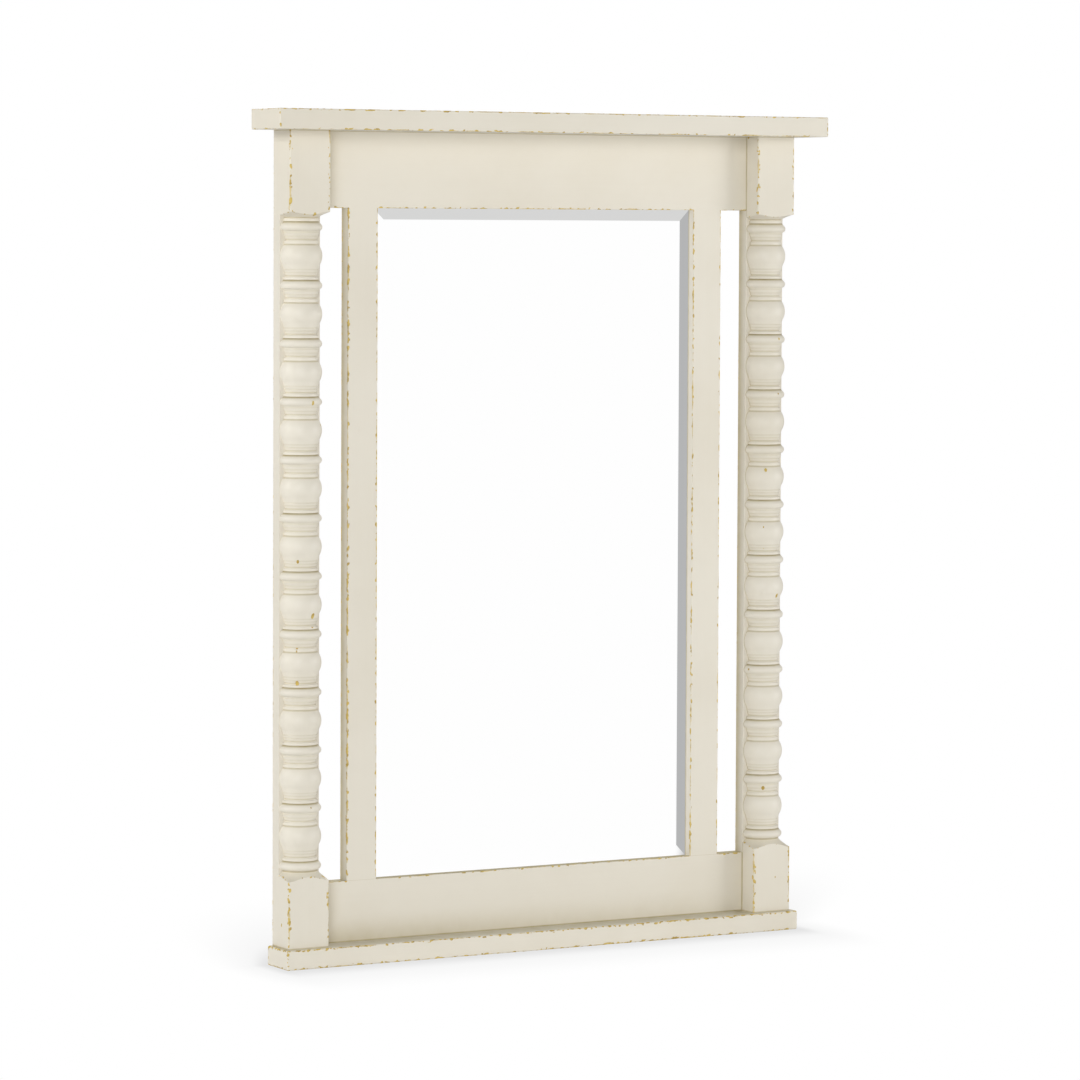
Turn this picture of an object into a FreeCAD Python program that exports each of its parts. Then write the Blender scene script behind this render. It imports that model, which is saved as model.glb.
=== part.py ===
import FreeCAD, Part

# A painted wooden mirror, upright, seen from the front along +Y.
# The back frame is six flat boards of one thickness: two outer stiles, two rails tenoned between them
# and two inner stiles tenoned between the rails. An open slot is left beside each inner stile.
# A post that was turned as a row of beads, coves and vases from square stock, and then sawn in half
# along its axis, is screwed from behind to each outer stile. Its ends stay square blocks.
# A cap board on dowels overhangs the front and sides, and a thinner ledge is screwed on underneath.
# The bevelled plate lies in a rebate behind the opening, on two setting blocks, under a pad and a
# back panel with screws. Two strap hangers with swinging rings and two rubber bumpers are on the back.
# The origin is the middle of the whole object's underside: +X right, +Y to the wall, +Z up. Millimetres.

import math
import os

from FreeCAD import Vector

# Overall sizes and boards
overall_height = 1220.0
board_thickness = 21.0
opening_width = 529.0
inner_stile_width = 48.0
slot_width = 44.5
top_rail_height = 110.0
bottom_rail_height = 88.0
edge_ease = 1.2

# Cap board and base ledge
cap_thickness = 29.0
cap_side_overhang = 35.0
cap_front_overhang = 39.0
base_thickness = 28.0
base_side_overhang = 7.5
base_front_overhang = 11.0
cap_edge_round = 1.5
base_edge_round = 2.5

# Turned post: square stock sawn in half, so its depth is half its width
post_width = 64.0
top_block_height = 115.0
bottom_block_height = 96.0
shoulder_height = 13.0
end_fillet_height = 1.5
bead_count = 12
turning_reveal = 0.5
shoulder_overrun = 2.0
ring_groove_depth = 0.6
ring_groove_width = 1.3

# One turned pattern, from the top down, in shares of the pitch
bead_length_share = 0.160
cove_length_share = 0.148
flare_length_share = 0.028
low_fillet_length_share = 0.048
high_fillet_length_share = 0.043

# Places along one form, in shares of its own length
bead_chamfer_share = 0.30
bead_middle_share = 0.54
cove_ring_shares = (0.12, 0.57)
vase_belly_share = 0.33
vase_ring_shares = (0.79, 0.885)

# Turned radii, in shares of the largest radius
bead_top_share = 0.83
bead_chamfer_radius_share = 0.95
bead_foot_share = 0.87
neck_share = 0.73
low_fillet_share = 0.815
high_fillet_share = 0.845
vase_top_share = 0.83
vase_taper_share = 0.885
vase_foot_share = 0.735
end_fillet_share = 0.83
shoulder_middle_share = 1.02
shoulder_middle_height_share = 0.55

# Joints between the boards
tenon_thickness = 7.0
rail_tenon_length = 24.0
rail_tenon_shoulder = 15.0
stile_tenon_length = 25.0
stile_tenon_width = 28.0
glue_gap = 0.1

# Mirror plate and what holds it
lip_thickness = 14.5
rebate_width = 11.0
glass_cover = 9.0
glass_thickness = 5.0
bevel_width = 25.0
bevel_depth = 2.0
glass_seat_gap = 0.1
setting_block_length = 60.0
setting_block_inset = 90.0
pad_margin = 1.5
panel_thickness = 3.2
panel_overlap = 28.0
panel_screw_margin = 9.0
panel_screws_along_side = 5
panel_screws_along_end = 3
panel_screw_end_inset = 50.0

# Fasteners: shank and head radii, head heights and lengths
screw_gap = 0.05
panel_screw_shank = 1.6
panel_screw_head = 3.4
panel_screw_head_height = 2.0
panel_screw_length = 14.0
wood_screw_shank = 2.1
wood_screw_head = 4.2
wood_screw_head_height = 3.2
wood_screw_sink = 0.4
base_screw_length = 58.0
post_screw_length = 38.0
post_screw_end_inset = 62.0
post_screw_count = 4
dowel_radius = 4.0
dowel_length = 40.0
dowel_spread_share = 0.38

# Strap hangers and rings
strap_thickness = 1.5
strap_width = 17.0
strap_length = 56.0
strap_screw_first = 27.0
strap_screw_pitch = 19.0
strap_screw_shank = 1.9
strap_screw_head = 3.8
strap_screw_head_height = 2.1
strap_screw_length = 15.0
ring_wire_radius = 1.75
ring_gap = 0.3
ring_corner_radius = 4.0
ring_side_gap = 2.4
ring_leg_length = 1.5

# Rubber bumpers
bumper_radius = 10.0
bumper_tip_radius = 8.5
bumper_height = 8.0
bumper_inset = 24.0
bumper_seat_depth = 4.5
bumper_screw_shank = 1.6
bumper_screw_head = 3.4
bumper_screw_head_height = 2.0
bumper_screw_length = 15.0

overrun = 1.0

# Places worked out from the sizes
post_depth = post_width / 2
stile_width = post_width
frame_width = opening_width + 2 * (inner_stile_width + slot_width + stile_width)
cap_depth = board_thickness + post_depth + cap_front_overhang
base_depth = board_thickness + post_depth + base_front_overhang
back_plane = (cap_depth - bumper_height) / 2
front_plane = back_plane - board_thickness
half_frame = frame_width / 2
half_opening = opening_width / 2
stile_inner_edge = half_frame - stile_width
stile_middle = half_frame - stile_width / 2
frame_top = overall_height - cap_thickness
opening_top = frame_top - top_rail_height
opening_bottom = base_thickness + bottom_rail_height
opening_middle = (opening_top + opening_bottom) / 2
board_middle = back_plane - board_thickness / 2
rebate_depth = board_thickness - lip_thickness
lip_plane = back_plane - rebate_depth
bevel_drop_at_lip = bevel_depth * (1 - glass_cover / bevel_width)
glass_front = lip_plane - bevel_drop_at_lip + glass_seat_gap
glass_back = glass_front + glass_thickness
turning_low = base_thickness + bottom_block_height + shoulder_height
turning_high = frame_top - top_block_height - shoulder_height
pitch = (turning_high - turning_low - 2 * end_fillet_height) / (bead_count - 1 + bead_length_share)
flare = flare_length_share * pitch
turned_radius = post_width / 2 - turning_reveal
post_screw_low = base_thickness + post_screw_end_inset
post_screw_pitch = (frame_top - post_screw_end_inset - post_screw_low) / (post_screw_count - 1)
hanger_height = post_screw_low + (post_screw_count - 1.5) * post_screw_pitch + strap_length / 2
eye_inner_radius = ring_wire_radius + ring_gap
eye_outer_radius = eye_inner_radius + strap_thickness
eye_middle = back_plane + eye_outer_radius
ring_half_width = strap_width / 2 + ring_side_gap + ring_wire_radius


forward = Vector(0, -1, 0)
upward = Vector(0, 0, 1)
rightward = Vector(1, 0, 0)


def block(x_low, x_high, y_low, y_high, z_low, z_high):
    """A box between two corners."""
    return Part.makeBox(x_high - x_low, y_high - y_low, z_high - z_low, Vector(x_low, y_low, z_low))


def mirrored(shape):
    """The same piece on the other side of the mirror."""
    return shape.mirror(Vector(0, 0, 0), Vector(1, 0, 0))


def turned(points, place, axis):
    """A closed outline of (radius, height) points, turned round an axis that starts at place."""
    corners = [Vector(radius, 0, height) for radius, height in points]
    face = Part.Face(Part.makePolygon(corners + corners[:1]))
    solid = face.revolve(Vector(0, 0, 0), Vector(0, 0, 1), 360)
    turn = FreeCAD.Rotation(Vector(0, 0, 1), axis)
    solid.Placement = FreeCAD.Placement(place, turn)
    return solid


def countersunk_screw(place, into, length, gap=0.0):
    """A screw whose flat head ends just under the surface at place, or with a gap, the hole for it."""
    head, shank = wood_screw_head + gap, wood_screw_shank + gap
    neck = -wood_screw_sink - wood_screw_head_height
    tip = -length - gap
    points = [(head, -wood_screw_sink), (shank, neck), (shank, tip + shank), (0, tip)]
    if gap:
        points = [(0, overrun), (head, overrun)] + points
    else:
        points = [(0, -wood_screw_sink)] + points
    return turned(points, place, into.negative())


def pan_head_screw(place, into, shank, head, head_height, length, gap=0.0):
    """A screw whose domed head stands on the surface at place, or with a gap, the hole for its shank."""
    shank = shank + gap
    tip = -length - gap
    if gap:
        points = [(0, overrun), (shank, overrun), (shank, tip + shank), (0, tip)]
    else:
        rim = head_height / 3
        shoulder = head - head_height / 2
        points = [(0, head_height), (shoulder, head_height), (head, rim), (head, 0)]
        points += [(shank, 0), (shank, tip + shank), (0, tip)]
    return turned(points, place, into.negative())


def dowel(place, gap=0.0):
    """An upright dowel whose middle is at place, or with a gap, the hole for it."""
    length = dowel_length + 2 * gap
    foot = place - Vector(0, 0, length / 2)
    return Part.makeCylinder(dowel_radius + gap, length, foot, Vector(0, 0, 1))


def rounded(shape, radius):
    """A board with all its edges rounded."""
    return shape.makeFillet(radius, shape.Edges)


def easing(start, end, first, second):
    """The sliver that eases an edge from start to end: first and second point from it into its two faces."""
    a, b = start + first * edge_ease, start + second * edge_ease
    middle = start + (first + second) * edge_ease * (1 - math.sqrt(0.5))
    sides = [Part.LineSegment(start, a), Part.Arc(a, middle, b), Part.LineSegment(b, start)]
    return Part.Face(Part.Wire([side.toShape() for side in sides])).extrude(end - start)


def rail_easings(z, up):
    """The slivers off a rail's long edge at height z, which show in the opening and in the two slots."""
    inner = half_opening + inner_stile_width
    cuts = []
    for y, inward in ((front_plane, Vector(0, 1, 0)), (back_plane, forward)):
        spans = [(-stile_inner_edge, -inner), (inner, stile_inner_edge)]
        if y == front_plane:
            spans.append((-half_opening, half_opening))
        cuts += [easing(Vector(a, y, z), Vector(b, y, z), inward, up) for a, b in spans]
    return cuts


def stile_easings(x, out, z_low, z_high, planes):
    """The slivers off a stile's long edge at x, on the named planes: out points into the board."""
    cuts = []
    for y in planes:
        inward = Vector(0, 1, 0) if y == front_plane else forward
        cuts.append(easing(Vector(x, y, z_low), Vector(x, y, z_high), inward, out))
    return cuts


def cap_dowel_places():
    """Middles of the dowels under the cap: one in each outer stile and three in the top rail."""
    spread = dowel_spread_share * opening_width
    return [Vector(x, board_middle, frame_top) for x in (-stile_middle, -spread, 0, spread, stile_middle)]


def base_screw_places():
    """Heads of the screws under the ledge: one in each outer stile and three in the bottom rail."""
    outer = half_frame - stile_width / 4
    spread = dowel_spread_share * opening_width
    return [Vector(x, board_middle, 0) for x in (-outer, -spread, 0, spread, outer)]


def post_screw_places(side):
    """Heads of the screws that hold a post from behind its stile."""
    heights = [post_screw_low + n * post_screw_pitch for n in range(post_screw_count)]
    return [Vector(side * stile_middle, back_plane, z) for z in heights]


def panel_screw_places():
    """Places of the screws round the back panel, on the panel's outer face."""
    across = half_opening + panel_overlap - panel_screw_margin
    up = (opening_top - opening_bottom) / 2 + panel_overlap - panel_screw_margin
    run_x = half_opening - panel_screw_end_inset
    run_z = (opening_top - opening_bottom) / 2 - panel_screw_end_inset
    face = back_plane + panel_thickness
    places = []
    for side in (-1, 1):
        for n in range(panel_screws_along_side):
            z = opening_middle - run_z + 2 * run_z * n / (panel_screws_along_side - 1)
            places.append(Vector(side * across, face, z))
        for n in range(panel_screws_along_end):
            x = -run_x + 2 * run_x * n / (panel_screws_along_end - 1)
            places.append(Vector(x, face, opening_middle + side * up))
    return places


def strap_screw_places(side):
    """Places of a strap hanger's screws, on the strap's outer face."""
    heights = [hanger_height - strap_screw_first - n * strap_screw_pitch for n in range(2)]
    return [Vector(side * stile_middle, back_plane + strap_thickness, z) for z in heights]


def bumper_place(side):
    """Middle of a bumper's foot on the back of its stile."""
    return Vector(side * stile_middle, back_plane, base_thickness + bumper_inset)


def cap_board():
    """The top board, flush with the frame's back, with blind dowel holes in its underside."""
    half = half_frame + cap_side_overhang
    board = block(-half, half, back_plane - cap_depth, back_plane, frame_top, overall_height)
    return rounded(board, cap_edge_round).cut([dowel(p, glue_gap) for p in cap_dowel_places()])


def base_board():
    """The ledge under the frame, with countersunk screw holes in its underside."""
    half = half_frame + base_side_overhang
    board = block(-half, half, back_plane - base_depth, back_plane, 0, base_thickness)
    holes = [countersunk_screw(p, upward, base_screw_length, screw_gap) for p in base_screw_places()]
    return rounded(board, base_edge_round).cut(holes)


def rail_tenon(side, z_low, z_high, gap=0.0):
    """The tongue at one end of a rail, or with a gap, its mortise in the outer stile."""
    inner = stile_inner_edge - (overrun if gap else 0)
    outer = stile_inner_edge + rail_tenon_length + gap
    half = tenon_thickness / 2 + gap
    low, high = z_low + rail_tenon_shoulder - gap, z_high - rail_tenon_shoulder + gap
    tongue = block(inner, outer, board_middle - half, board_middle + half, low, high)
    return tongue if side > 0 else mirrored(tongue)


def stile_tenon(side, z_edge, direction, gap=0.0):
    """The tongue at one end of an inner stile, or with a gap, its mortise in the rail."""
    outer = half_opening + inner_stile_width - (inner_stile_width - rebate_width - stile_tenon_width) / 2
    inner = outer - stile_tenon_width
    half = tenon_thickness / 2 + gap
    near = z_edge - direction * (overrun if gap else 0)
    far = z_edge + direction * (stile_tenon_length + gap)
    low, high = min(near, far), max(near, far)
    tongue = block(inner - gap, outer + gap, board_middle - half, board_middle + half, low, high)
    return tongue if side > 0 else mirrored(tongue)


def plate_rebate():
    """The space cut from the back of the frame for the plate and its pad."""
    half = half_opening + rebate_width
    low, high = opening_bottom - rebate_width, opening_top + rebate_width
    return block(-half, half, lip_plane, back_plane + overrun, low, high)


def panel_screw_holes():
    """The holes that the panel screws cut in whatever they pass."""
    return [
        pan_head_screw(p, forward, panel_screw_shank, 0, 0, panel_screw_length, screw_gap)
        for p in panel_screw_places()
    ]


def rail(z_low, z_high, tenon_edge, tenon_direction, holes):
    """A rail between the outer stiles, with a tongue at each end and a mortise for each inner stile."""
    board = block(-stile_inner_edge, stile_inner_edge, front_plane, back_plane, z_low, z_high)
    board = board.fuse([rail_tenon(side, z_low, z_high) for side in (-1, 1)]).removeSplitter()
    mortises = [stile_tenon(side, tenon_edge, tenon_direction, glue_gap) for side in (-1, 1)]
    eases = rail_easings(tenon_edge, Vector(0, 0, tenon_direction))
    return board.cut(mortises + holes + [plate_rebate()] + panel_screw_holes() + eases)


def top_rail():
    """The wide frieze board under the cap."""
    holes = [dowel(p, glue_gap) for p in cap_dowel_places()[1:-1]]
    return rail(opening_top, frame_top, opening_top, 1, holes)


def bottom_rail():
    """The board over the ledge."""
    places = base_screw_places()[1:-1]
    holes = [countersunk_screw(p, upward, base_screw_length, screw_gap) for p in places]
    return rail(base_thickness, opening_bottom, opening_bottom, -1, holes)


def outer_stile():
    """The right outer stile, behind its post, with its mortises and all its screw holes."""
    board = block(stile_inner_edge, half_frame, front_plane, back_plane, base_thickness, frame_top)
    cuts = [rail_tenon(1, opening_top, frame_top, glue_gap)]
    cuts += [rail_tenon(1, base_thickness, opening_bottom, glue_gap)]
    cuts += [dowel(cap_dowel_places()[-1], glue_gap)]
    cuts += [countersunk_screw(base_screw_places()[-1], upward, base_screw_length, screw_gap)]
    cuts += [countersunk_screw(p, forward, post_screw_length, screw_gap) for p in post_screw_places(1)]
    for place in strap_screw_places(1):
        cuts.append(pan_head_screw(place, forward, strap_screw_shank, 0, 0, strap_screw_length, screw_gap))
    seat = bumper_place(1) + Vector(0, bumper_height - bumper_seat_depth, 0)
    cuts.append(pan_head_screw(seat, forward, bumper_screw_shank, 0, 0, bumper_screw_length, screw_gap))
    both = (front_plane, back_plane)
    cuts += stile_easings(stile_inner_edge, rightward, opening_bottom, opening_top, both)
    cuts += stile_easings(half_frame, rightward.negative(), base_thickness, frame_top, (back_plane,))
    return board.cut(cuts)


def inner_stile():
    """The right inner stile, rebated for the plate, with a tongue at each end."""
    outer = half_opening + inner_stile_width
    board = block(half_opening, outer, front_plane, back_plane, opening_bottom, opening_top)
    eases = stile_easings(half_opening, rightward, opening_bottom, opening_top, (front_plane,))
    both = (front_plane, back_plane)
    eases += stile_easings(outer, rightward.negative(), opening_bottom, opening_top, both)
    board = board.cut([plate_rebate()] + panel_screw_holes() + eases)
    return board.fuse([stile_tenon(1, opening_top, 1), stile_tenon(1, opening_bottom, -1)]).removeSplitter()


def ring_groove(radius, z):
    """A fine groove cut round the turning, whose upper edge is at z."""
    half = ring_groove_width / 2
    bottom = (radius - ring_groove_depth, z - half)
    return [("line", (radius, z)), ("line", bottom), ("line", (radius, z - ring_groove_width))]


def grooved_taper(start_share, end_share, ring_shares, z_start, z_end):
    """A straight taper from a radius share to another, with a fine groove at each ring share of the way."""
    steps = []
    for share in ring_shares:
        radius = start_share + (end_share - start_share) * share
        steps += ring_groove(turned_radius * radius, z_start + (z_end - z_start) * share)
    return steps + [("line", (turned_radius * end_share, z_end))]


def flare_and_fillet(neck, radius_share, z, length):
    """A hollow sweep from a neck's radius share out to a fillet, and the flat fillet itself."""
    start, end = turned_radius * neck, turned_radius * radius_share
    deep = math.sqrt(0.5)
    middle = (end - (end - start) * deep, z - flare * deep)
    return [("arc", middle, (end, z - flare)), ("line", (end, z - flare - length))]


def turned_pattern(top):
    """One bead, cove, fillet, vase and fillet: (radius, height) steps from the top down."""
    low_fillet, high_fillet = low_fillet_length_share * pitch, high_fillet_length_share * pitch
    steps = bead_step(top)
    cove_top = top - bead_length_share * pitch
    neck = cove_top - cove_length_share * pitch
    steps += grooved_taper(bead_foot_share, neck_share, cove_ring_shares, cove_top, neck)
    steps += flare_and_fillet(neck_share, low_fillet_share, neck, low_fillet)
    vase_top = neck - flare - low_fillet
    vase_foot = top - pitch + flare + high_fillet
    vase = vase_top - vase_foot
    steps += ring_groove(turned_radius * low_fillet_share, vase_top)
    steps += [("line", (turned_radius * vase_top_share, vase_top - ring_groove_width))]
    belly_end = vase_top - 2 * vase * vase_belly_share
    belly = (turned_radius, vase_top - vase * vase_belly_share)
    steps += [("arc", belly, (turned_radius * vase_taper_share, belly_end))]
    lower = 1 - 2 * vase_belly_share
    rings = [(share - 1 + lower) / lower for share in vase_ring_shares]
    steps += grooved_taper(vase_taper_share, vase_foot_share, rings, belly_end, vase_foot)
    return steps + flare_and_fillet(vase_foot_share, high_fillet_share, vase_foot, high_fillet)


def bead_step(top):
    """One bead, from the top down: a chamfer out from its root and a round nose back to its foot."""
    bead = bead_length_share * pitch
    root, foot = turned_radius * bead_top_share, turned_radius * bead_foot_share
    rim = (turned_radius * bead_chamfer_radius_share, top - bead * bead_chamfer_share)
    nose = (turned_radius, top - bead * bead_middle_share)
    return [("line", (root, top)), ("line", rim), ("arc", nose, (foot, top - bead))]


def post_outline():
    """The whole turned outline as steps from the top block's inside end down to the bottom block's."""
    corner_radius = post_width / math.sqrt(2) + shoulder_overrun
    fillet = turned_radius * end_fillet_share
    middle = post_width / 2 * shoulder_middle_share
    dip = shoulder_height * shoulder_middle_height_share
    steps = [("line", (corner_radius, turning_high + shoulder_height))]
    steps += [("arc", (middle, turning_high + dip), (fillet, turning_high))]
    z = turning_high - end_fillet_height
    steps += [("line", (fillet, z))]
    for _ in range(bead_count - 1):
        steps += turned_pattern(z)
        z -= pitch
    steps += bead_step(z)
    steps += [("line", (fillet, turning_low + end_fillet_height)), ("line", (fillet, turning_low))]
    steps += [("arc", (middle, turning_low - dip), (corner_radius, turning_low - shoulder_height))]
    return steps


def turned_post():
    """The right half post: the outline turned through half a circle and kept inside the square stock."""
    corner_radius = post_width / math.sqrt(2) + shoulder_overrun
    here = (corner_radius, frame_top)
    edges = [Part.LineSegment(Vector(0, 0, frame_top), Vector(here[0], 0, here[1])).toShape()]
    for step in post_outline():
        start, end = Vector(here[0], 0, here[1]), Vector(step[-1][0], 0, step[-1][1])
        if start.distanceToPoint(end) < glue_gap / 100:
            continue
        if step[0] == "arc":
            edges.append(Part.Arc(start, Vector(step[1][0], 0, step[1][1]), end).toShape())
        else:
            edges.append(Part.LineSegment(start, end).toShape())
        here = step[-1]
    foot = Vector(here[0], 0, base_thickness)
    edges.append(Part.LineSegment(Vector(here[0], 0, here[1]), foot).toShape())
    edges.append(Part.LineSegment(foot, Vector(0, 0, base_thickness)).toShape())
    edges.append(Part.LineSegment(Vector(0, 0, base_thickness), Vector(0, 0, frame_top)).toShape())
    half_round = Part.Face(Part.Wire(edges)).revolve(Vector(0, 0, 0), upward, -180)
    stock = block(-post_width / 2, post_width / 2, -post_depth, 0, base_thickness, frame_top)
    post = half_round.common(stock)
    post.translate(Vector(stile_middle, front_plane, 0))
    places = post_screw_places(1)
    return post.cut([countersunk_screw(p, forward, post_screw_length, screw_gap) for p in places])


def mirror_glass():
    """The plate, with a bevel round its front face and mitred corners where the bevels meet."""
    half_width = half_opening + glass_cover
    low, high = opening_bottom - glass_cover, opening_top + glass_cover
    edge = glass_front + bevel_depth

    def section(a_low, a_high):
        return [
            (a_low, glass_back), (a_high, glass_back), (a_high, edge),
            (a_high - bevel_width, glass_front), (a_low + bevel_width, glass_front), (a_low, edge),
        ]

    level = [Vector(x, y, low) for x, y in section(-half_width, half_width)]
    upright = [Vector(-half_width, y, z) for z, y in section(low, high)]
    across = Part.Face(Part.makePolygon(level + level[:1])).extrude(Vector(0, 0, high - low))
    along = Part.Face(Part.makePolygon(upright + upright[:1])).extrude(Vector(2 * half_width, 0, 0))
    return across.common(along)


def glass_setting_blocks():
    """Two thin blocks in the bottom of the rebate that carry the plate's weight."""
    low, high = opening_bottom - rebate_width, opening_bottom - glass_cover
    middle = half_opening - setting_block_inset
    half = setting_block_length / 2
    return [block(x - half, x + half, lip_plane, glass_back, low, high) for x in (-middle, middle)]


def backing_pad():
    """The soft board between the plate and the back panel."""
    half = half_opening + glass_cover - pad_margin
    low, high = opening_bottom - glass_cover + pad_margin, opening_top + glass_cover - pad_margin
    return block(-half, half, glass_back, back_plane, low, high)


def back_panel():
    """The thin panel over the rebate, lapped on to the frame all round."""
    half = half_opening + panel_overlap
    low, high = opening_bottom - panel_overlap, opening_top + panel_overlap
    panel = block(-half, half, back_plane, back_plane + panel_thickness, low, high)
    return panel.cut(panel_screw_holes())


def back_panel_screws():
    """The ring of screws round the back panel."""
    sizes = (panel_screw_shank, panel_screw_head, panel_screw_head_height, panel_screw_length)
    return [pan_head_screw(p, forward, *sizes) for p in panel_screw_places()]


def strap_hanger():
    """The right strap: a plate on the stile whose top end is rolled round the ring's bar."""
    x_low, x_high = stile_middle - strap_width / 2, stile_middle + strap_width / 2
    low = hanger_height - strap_length
    plate = block(x_low, x_high, back_plane, back_plane + strap_thickness, low, hanger_height)
    start = Vector(x_low, eye_middle, hanger_height)
    roll = Part.makeCylinder(eye_outer_radius, strap_width, start, Vector(1, 0, 0))
    bore = Part.makeCylinder(eye_inner_radius, strap_width, start, Vector(1, 0, 0))
    sizes = (strap_screw_shank, 0, 0, strap_screw_length)
    holes = [pan_head_screw(p, forward, *sizes, screw_gap) for p in strap_screw_places(1)]
    strap = plate.fuse(roll).cut([bore] + holes).removeSplitter()
    ends = [e for e in strap.Edges if abs(e.Vertexes[0].Z - low) < glue_gap]
    corners = [e for e in ends if abs(e.tangentAt(e.FirstParameter).y) > 0.9]
    return strap.makeFillet(strap_width / 3, corners)


def hanger_ring():
    """The right ring: a bar through the strap's eye, two short legs and a half circle, hanging down."""
    half = ring_half_width
    bend = ring_corner_radius
    bow_height = -bend - ring_leg_length
    slant = bend * (1 - math.sqrt(0.5))

    def at(x, z):
        return Vector(x, 0, z)

    sides = [
        Part.LineSegment(at(0, 0), at(half - bend, 0)),
        Part.Arc(at(half - bend, 0), at(half - slant, -slant), at(half, -bend)),
        Part.LineSegment(at(half, -bend), at(half, bow_height)),
        Part.Arc(at(half, bow_height), at(0, bow_height - half), at(-half, bow_height)),
        Part.LineSegment(at(-half, bow_height), at(-half, -bend)),
        Part.Arc(at(-half, -bend), at(slant - half, -slant), at(bend - half, 0)),
        Part.LineSegment(at(bend - half, 0), at(0, 0)),
    ]
    path = Part.Wire([side.toShape() for side in sides])
    circle = Part.Wire(Part.Circle(Vector(0, 0, 0), Vector(1, 0, 0), ring_wire_radius).toShape())
    ring = path.makePipeShell([circle], True, True)
    ring.translate(Vector(stile_middle, eye_middle, hanger_height))
    return ring


def hanger_screws():
    """The screws of both straps."""
    sizes = (strap_screw_shank, strap_screw_head, strap_screw_head_height, strap_screw_length)
    return [pan_head_screw(p, forward, *sizes) for side in (-1, 1) for p in strap_screw_places(side)]


def wall_bumpers():
    """Two rubber feet on the back that keep the frame off the wall, each hollow for its screw's head."""
    seat = bumper_height - bumper_seat_depth
    well = bumper_screw_head + glue_gap
    hole = bumper_screw_shank + screw_gap
    points = [(hole, 0), (bumper_radius, 0), (bumper_tip_radius, bumper_height), (well, bumper_height)]
    points += [(well, seat), (hole, seat)]
    return [turned(points, bumper_place(side), Vector(0, 1, 0)) for side in (-1, 1)]


def bumper_screws():
    """The screws inside the bumpers."""
    raised = Vector(0, bumper_height - bumper_seat_depth, 0)
    sizes = (bumper_screw_shank, bumper_screw_head, bumper_screw_head_height, bumper_screw_length)
    return [pan_head_screw(bumper_place(side) + raised, forward, *sizes) for side in (-1, 1)]


def cap_dowels():
    """The dowels between the cap and the frame."""
    return [dowel(p) for p in cap_dowel_places()]


def base_screws():
    """The screws up through the ledge."""
    return [countersunk_screw(p, upward, base_screw_length) for p in base_screw_places()]


def post_screws():
    """The screws through the outer stiles into the posts."""
    places = post_screw_places(-1) + post_screw_places(1)
    return [countersunk_screw(p, forward, post_screw_length) for p in places]


def save(name, shape):
    """Writes one node: a single piece, or a group of separate solids."""
    solid = Part.makeCompound(shape) if isinstance(shape, list) else shape
    solid.exportStep(os.path.join("parts", name + ".step"))


os.makedirs("parts", exist_ok=True)

single_pieces = {
    "cap_board": cap_board, "base_board": base_board, "top_rail": top_rail, "bottom_rail": bottom_rail,
    "mirror_glass": mirror_glass, "glass_setting_blocks": glass_setting_blocks, "backing_pad": backing_pad,
    "back_panel": back_panel, "back_panel_screws": back_panel_screws, "cap_dowels": cap_dowels,
    "base_screws": base_screws, "post_screws": post_screws, "hanger_screws": hanger_screws,
    "wall_bumpers": wall_bumpers, "bumper_screws": bumper_screws,
}
paired_pieces = {
    "outer_stile": outer_stile, "inner_stile": inner_stile, "turned_post": turned_post,
    "strap_hanger": strap_hanger, "hanger_ring": hanger_ring,
}
for name, make in single_pieces.items():
    save(name, make())
for name, make in paired_pieces.items():
    piece = make()
    save("right_" + name, piece)
    save("left_" + name, mirrored(piece))
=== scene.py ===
"""A painted wooden mirror with half-round turned posts, dressed for a catalogue picture.

The frame of solids gives every place and size. Here its boards get a chipped cream paint, the posts are
turned again as fine surfaces, the plate is silvered, and the back gets its hardboard and screws.
"""

import math

import bpy
import numpy as np
from bpy.props import FloatProperty, FloatVectorProperty, IntProperty, PointerProperty
from mathutils import Matrix, Vector


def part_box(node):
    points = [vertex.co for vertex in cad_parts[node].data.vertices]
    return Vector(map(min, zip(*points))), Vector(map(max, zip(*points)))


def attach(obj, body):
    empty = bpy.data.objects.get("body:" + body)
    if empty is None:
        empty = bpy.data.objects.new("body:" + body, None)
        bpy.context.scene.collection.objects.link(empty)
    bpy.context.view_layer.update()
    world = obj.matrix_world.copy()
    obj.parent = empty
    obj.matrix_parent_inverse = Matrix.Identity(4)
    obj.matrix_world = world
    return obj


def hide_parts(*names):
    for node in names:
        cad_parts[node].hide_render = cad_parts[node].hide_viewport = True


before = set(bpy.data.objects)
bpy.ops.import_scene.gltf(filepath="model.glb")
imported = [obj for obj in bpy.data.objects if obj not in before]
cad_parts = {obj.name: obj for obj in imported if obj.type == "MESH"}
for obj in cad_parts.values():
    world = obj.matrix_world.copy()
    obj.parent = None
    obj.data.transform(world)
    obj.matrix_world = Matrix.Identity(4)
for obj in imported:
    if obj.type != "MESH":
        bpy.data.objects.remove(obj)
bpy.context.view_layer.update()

bl_info = {
    "name": "Painted wooden mirror",
    "version": (1, 0, 0),
    "blender": (4, 5, 0),
    "location": "View3D > Sidebar > Mirror",
    "description": "Paints, turns, silvers and lights a wooden mirror round its solids",
    "category": "Object",
}

MM = 0.001

# Places read from the solids, in metres
CAP_LOW, CAP_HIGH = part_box("cap_board")
BASE_LOW, BASE_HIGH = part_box("base_board")
POST_LOW, POST_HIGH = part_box("right_turned_post")
STILE_LOW, STILE_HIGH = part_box("right_outer_stile")
FRONT_PLANE, BACK_PLANE = STILE_LOW.y, STILE_HIGH.y
STILE_IN, STILE_OUT = STILE_LOW.x, STILE_HIGH.x
POST_MIDDLE = (POST_LOW.x + POST_HIGH.x) / 2
OPENING_HALF, INNER_OUT = (corner.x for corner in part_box("right_inner_stile"))
OPENING_LOW, OPENING_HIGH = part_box("bottom_rail")[1].z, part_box("top_rail")[0].z
GLASS_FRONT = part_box("mirror_glass")[0].y

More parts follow.
